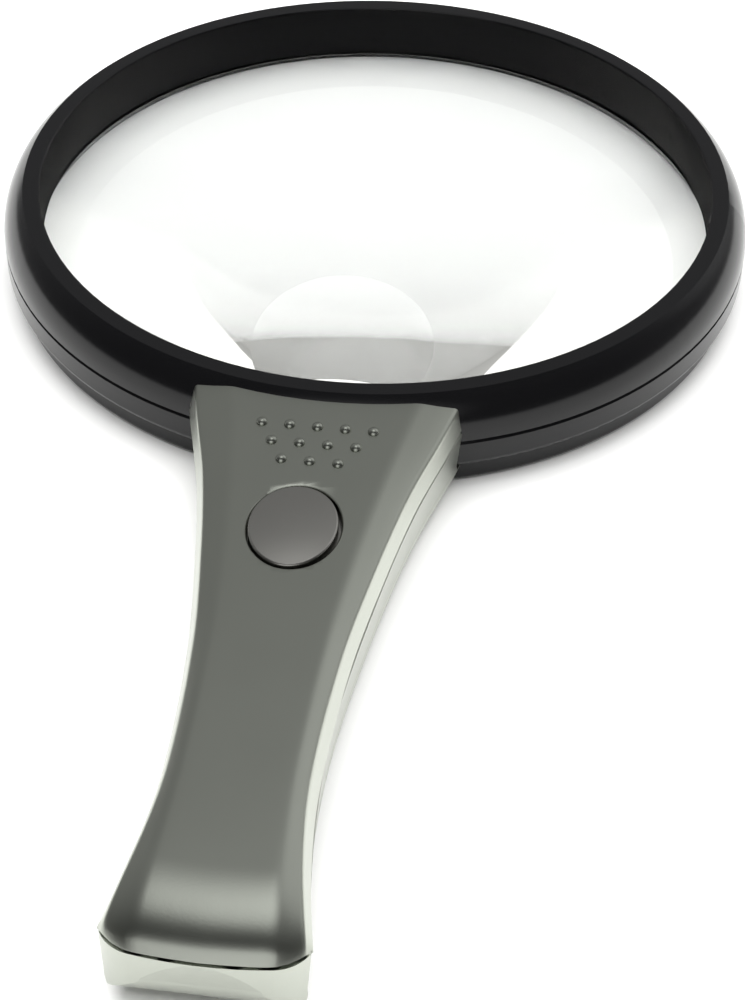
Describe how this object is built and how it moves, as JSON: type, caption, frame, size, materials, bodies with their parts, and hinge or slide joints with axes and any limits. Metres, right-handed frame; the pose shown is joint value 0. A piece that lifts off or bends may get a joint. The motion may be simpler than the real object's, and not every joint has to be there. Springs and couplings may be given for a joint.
{
  "type": "low vision magnifier",
  "caption": "Hand-held low vision magnifier: a large lit lens in a black two-piece ring on a waisted grey battery handle with a push button.",
  "frame": {"origin": "bottom centre of the bounding box, on the plane that the ring's rear rim rests on; the lens axis stands 53.5 mm towards +Y", "axes": "+Z along the lens axis, out of the front of the lens; +Y from the handle towards the lens; +X across the handle"},
  "size_m": [0.138, 0.245, 0.018],
  "materials": {
    "ring_black": "polished injection-moulded black plastic",
    "lens_clear": "optically clear moulded acrylic",
    "shell_grey": "satin silver-grey moulded plastic",
    "button_grey": "satin grey moulded plastic",
    "spring_steel": "stamped spring steel",
    "board_green": "solder-masked glass-epoxy board",
    "resistor_body": "coated ceramic chip",
    "screw_steel": "zinc-plated steel",
    "cell_jacket": "plain printed metal jacket",
    "contact_nickel": "nickel-plated steel",
    "hood_white": "white reflective plastic",
    "window_clear": "clear plastic",
    "led_body": "white plastic with yellow phosphor",
    "lead_red": "insulated wire",
    "lead_black": "insulated wire"
  },
  "bodies": {
    "magnifier": {"front_ring": "ring_black", "rear_ring": "ring_black", "lens": "lens_clear", "handle_top_shell": "shell_grey", "handle_bottom_shell": "shell_grey", "switch_dome": "spring_steel", "circuit_board": "board_green", "resistor": "resistor_body", "handle_screws": "screw_steel", "board_screws": "screw_steel", "battery_front": "cell_jacket", "battery_rear": "cell_jacket", "positive_contact": "contact_nickel", "negative_spring": "contact_nickel", "negative_strip": "contact_nickel", "light_hood": "hood_white", "light_window": "window_clear", "led_board": "board_green", "leds": "led_body", "red_lead": "lead_red", "black_lead": "lead_black"},
    "button": {"push_button": "button_grey"},
    "door": {"battery_door": "shell_grey"}
  },
  "joints": [
    {"name": "button_press", "type": "slide", "parent": "magnifier", "child": "button", "axis": [0, 0, -1], "range_m": [0, 0.00055], "stiffness_N_per_m": 2500, "springref_m": -0.0003, "deforming": ["switch_dome"]},
    {"name": "door_slide", "type": "slide", "parent": "magnifier", "child": "door", "axis": [0, -1, 0], "range_m": [0, 0.058]}
  ]
}
